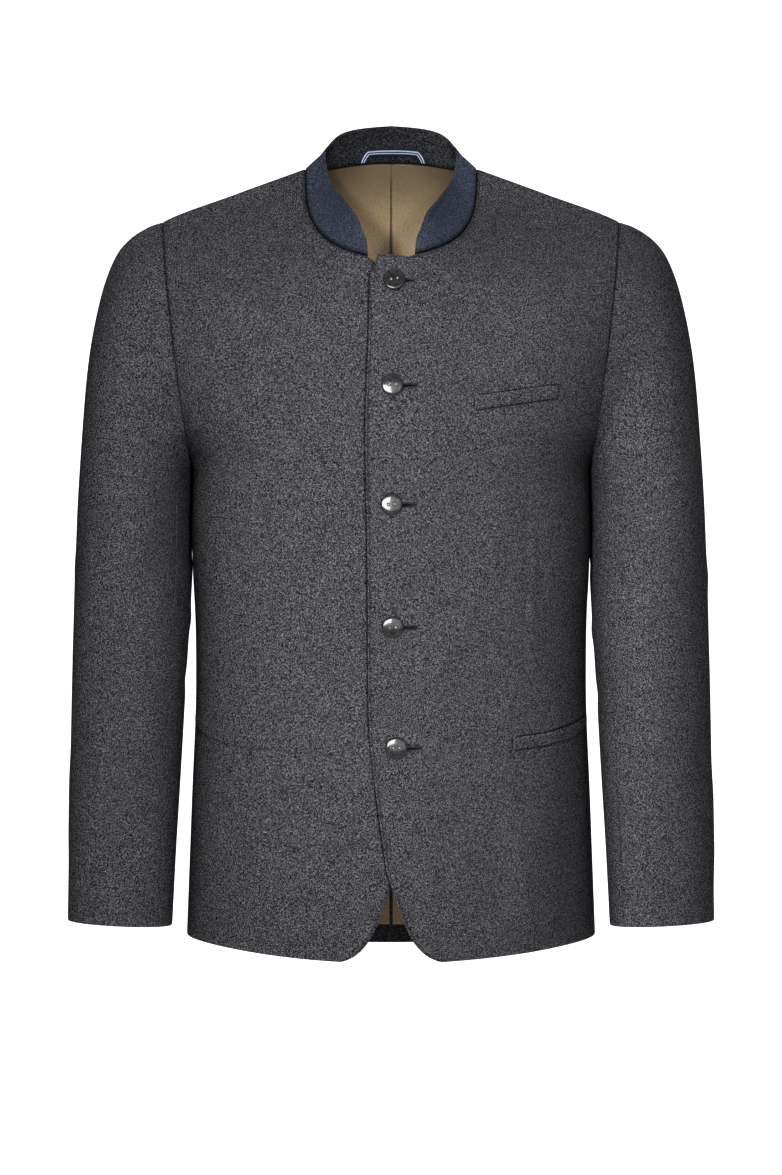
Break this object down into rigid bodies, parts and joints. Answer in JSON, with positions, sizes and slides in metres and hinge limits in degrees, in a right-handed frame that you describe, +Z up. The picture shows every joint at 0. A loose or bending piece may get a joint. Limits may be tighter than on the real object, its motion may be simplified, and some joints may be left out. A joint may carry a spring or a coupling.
{
  "type": "tyrolean loden jacket",
  "caption": "Hip-length wool loden jacket with a felt stand collar, set-in sleeves, buttoned cutaway front and welt pockets, in its hollow worn shape.",
  "frame": {"origin": "midway between the shoulder tips, at the height where the shoulder seams meet the neck", "axes": "+Z up towards the collar, -Y out of the buttoned front, +X towards the wearer's left"},
  "size_m": [0.6092, 0.2565, 0.8012],
  "materials": {
    "loden": "matte, milled wool with a fine grey melange",
    "navy_felt": "matte navy wool felt",
    "lining": "soft satin sheen, tan",
    "ribbon": "woven ribbon, blue with two white lines",
    "button": "polished dark horn look"
  },
  "bodies": {
    "root": {"front_left": "loden", "front_right": "loden", "back_left": "loden", "back_right": "loden", "lining_left": "lining", "lining_right": "lining", "sleeve_top_left": "loden", "sleeve_top_right": "loden", "sleeve_under_left": "loden", "sleeve_under_right": "loden", "collar_outer": "navy_felt", "collar_inner": "loden", "hanger_loop": "ribbon", "breast_welt": "loden", "pocket_welt_left": "loden", "pocket_welt_right": "loden", "button_1": "button", "button_2": "button", "button_3": "button", "button_4": "button", "button_5": "button"}
  },
  "joints": []
}
